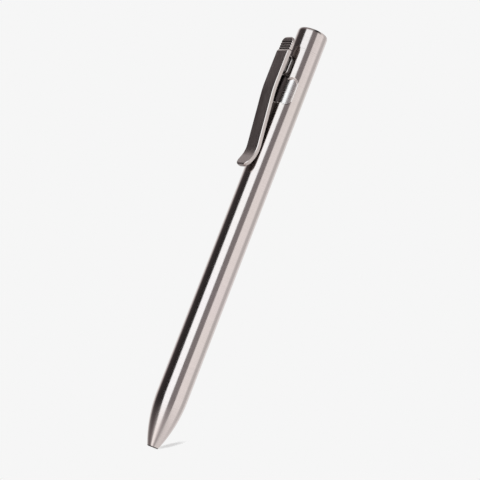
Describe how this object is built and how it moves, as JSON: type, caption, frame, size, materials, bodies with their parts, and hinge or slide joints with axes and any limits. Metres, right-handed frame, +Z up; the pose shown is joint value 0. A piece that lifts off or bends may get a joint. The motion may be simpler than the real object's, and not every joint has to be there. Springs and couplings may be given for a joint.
{
  "type": "retractable pen",
  "caption": "Slim metal retractable pen with a bullet nose, whose grooved pocket clip slides in a track in the barrel to push the refill out.",
  "frame": {"origin": "centre of the flat nose end, on the pen's axis", "axes": "+Z up the pen from nose to cap, -Y towards the clip, +X the side that the window opens to"},
  "size_m": [0.01, 0.0143, 0.141],
  "materials": {
    "body_metal": "satin, fine turning lines",
    "clip_metal": "satin, brushed lengthwise",
    "carriage_metal": "smooth, turned",
    "screw_metal": "black oxide",
    "spring_metal": "bright drawn wire",
    "tube_plastic": "clear",
    "plug_plastic": "moulded",
    "holder_plastic": "moulded",
    "point_metal": "turned nickel silver",
    "ball_metal": "polished carbide",
    "ink": "wet",
    "follower_grease": "clear grease"
  },
  "bodies": {
    "barrel": {"barrel": "body_metal", "end_cap": "body_metal", "return_spring": "spring_metal"},
    "bolt": {"clip": "clip_metal", "carriage": "carriage_metal", "clip_lock_screw": "screw_metal"},
    "refill": {"refill_tube": "tube_plastic", "refill_plug": "plug_plastic", "point_holder": "holder_plastic", "writing_point": "point_metal", "writing_ball": "ball_metal", "ink": "ink", "ink_follower": "follower_grease"}
  },
  "joints": [
    {"name": "bolt_slide", "type": "slide", "parent": "barrel", "child": "bolt", "axis": [0, 0, -1], "range_m": [0, 0.0089], "stiffness_N_per_m": 300, "springref_m": -0.005},
    {"name": "refill_slide", "type": "slide", "parent": "barrel", "child": "refill", "axis": [0, 0, -1], "range_m": [0, 0.0089], "deforming": ["return_spring"]}
  ],
  "couplings": [
    {"joint": "refill_slide", "follows": "bolt_slide", "ratio": 1}
  ]
}
